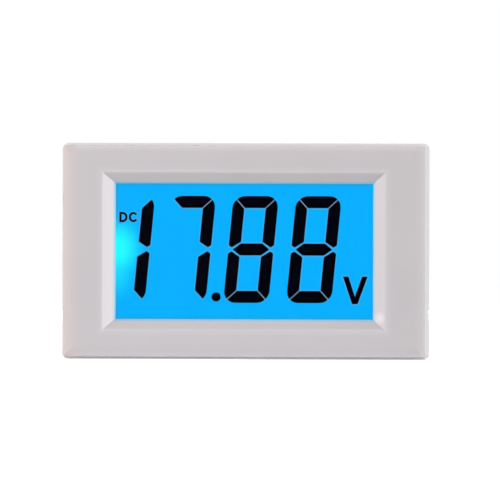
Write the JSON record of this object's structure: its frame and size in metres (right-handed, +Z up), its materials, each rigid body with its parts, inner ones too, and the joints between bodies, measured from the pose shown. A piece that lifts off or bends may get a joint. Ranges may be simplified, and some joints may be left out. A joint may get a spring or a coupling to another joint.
{
  "type": "digital panel meter",
  "caption": "Panel-mounted digital voltmeter with a backlit number display in a sloped window, a flanged snap-in housing and rear screw terminals.",
  "frame": {"origin": "centre of the flange's rear seating face, where it meets the panel", "axes": "+X to the viewer's right across the face, +Y into the panel, +Z up"},
  "size_m": [0.072, 0.025, 0.0424],
  "materials": {
    "housing": "grey moulded plastic, fine matt texture",
    "front_film": "satin film",
    "front_glass": "polished",
    "seal": "cured adhesive",
    "digits": "dark field",
    "rear_glass": "polished",
    "rear_film": "satin film",
    "diffuser": "frosted film",
    "guide": "lit acrylic",
    "reflector": "white film",
    "lamp": "moulded lamp body",
    "display_frame": "white moulded frame",
    "contact_rubber": "layered rubber",
    "board": "green solder resist on glass laminate",
    "small_screws": "zinc plated",
    "chip": "moulded package",
    "tinned": "tin plated",
    "can": "drawn can",
    "film_capacitor": "dipped orange",
    "capacitor": "satin can",
    "resistor": "printed black on white ceramic",
    "trimmer": "blue moulded body",
    "rotor": "cream moulded rotor",
    "solder": "soft solder",
    "cover": "grey moulded plastic",
    "brass_plate": "rolled brass",
    "zinc": "zinc plated steel"
  },
  "bodies": {
    "meter": {"front_housing": "housing", "front_polariser": "front_film", "front_glass": "front_glass", "display_seal": "seal", "display_digits": "digits", "rear_glass": "rear_glass", "rear_polariser": "rear_film", "diffuser_film": "diffuser", "light_guide": "guide", "reflector_film": "reflector", "backlight_lamp": "lamp", "display_frame": "display_frame", "upper_contact_strip": "contact_rubber", "lower_contact_strip": "contact_rubber", "main_board": "board", "board_screws": "small_screws", "converter_chip": "chip", "converter_leads": "tinned", "quartz_crystal": "can", "film_capacitors": "film_capacitor", "electrolytic_capacitor": "capacitor", "chip_resistors": "resistor", "protection_diode": "chip", "voltage_regulator": "chip", "trimmer_body": "trimmer", "solder_joints": "solder", "rear_cover": "cover", "positive_plate": "brass_plate", "negative_plate": "brass_plate"},
    "rotor": {"trimmer_rotor": "rotor"},
    "clamp_positive": {"positive_washer": "zinc"},
    "clamp_negative": {"negative_washer": "zinc"},
    "bolt_positive": {"positive_screw": "zinc"},
    "bolt_negative": {"negative_screw": "zinc"}
  },
  "joints": [
    {"name": "calibration", "type": "hinge", "parent": "meter", "child": "rotor", "pos_m": [0.02, 0.0075, 0.007], "axis": [0, 1, 0], "range_deg": [-130, 130]},
    {"name": "positive_clamp_travel", "type": "slide", "parent": "meter", "child": "clamp_positive", "axis": [0, 1, 0], "range_m": [0, 0.0024]},
    {"name": "positive_screw_turn", "type": "hinge", "parent": "clamp_positive", "child": "bolt_positive", "pos_m": [0.00555, 0.0152, -0.01085], "axis": [0, 1, 0], "range_deg": [0, 1440]},
    {"name": "negative_clamp_travel", "type": "slide", "parent": "meter", "child": "clamp_negative", "axis": [0, 1, 0], "range_m": [0, 0.0024]},
    {"name": "negative_screw_turn", "type": "hinge", "parent": "clamp_negative", "child": "bolt_negative", "pos_m": [-0.00555, 0.0152, -0.01085], "axis": [0, 1, 0], "range_deg": [0, 1440]}
  ],
  "couplings": [
    {"joint": "positive_screw_turn", "follows": "positive_clamp_travel", "rad_per_m": 10472},
    {"joint": "negative_screw_turn", "follows": "negative_clamp_travel", "rad_per_m": 10472}
  ]
}
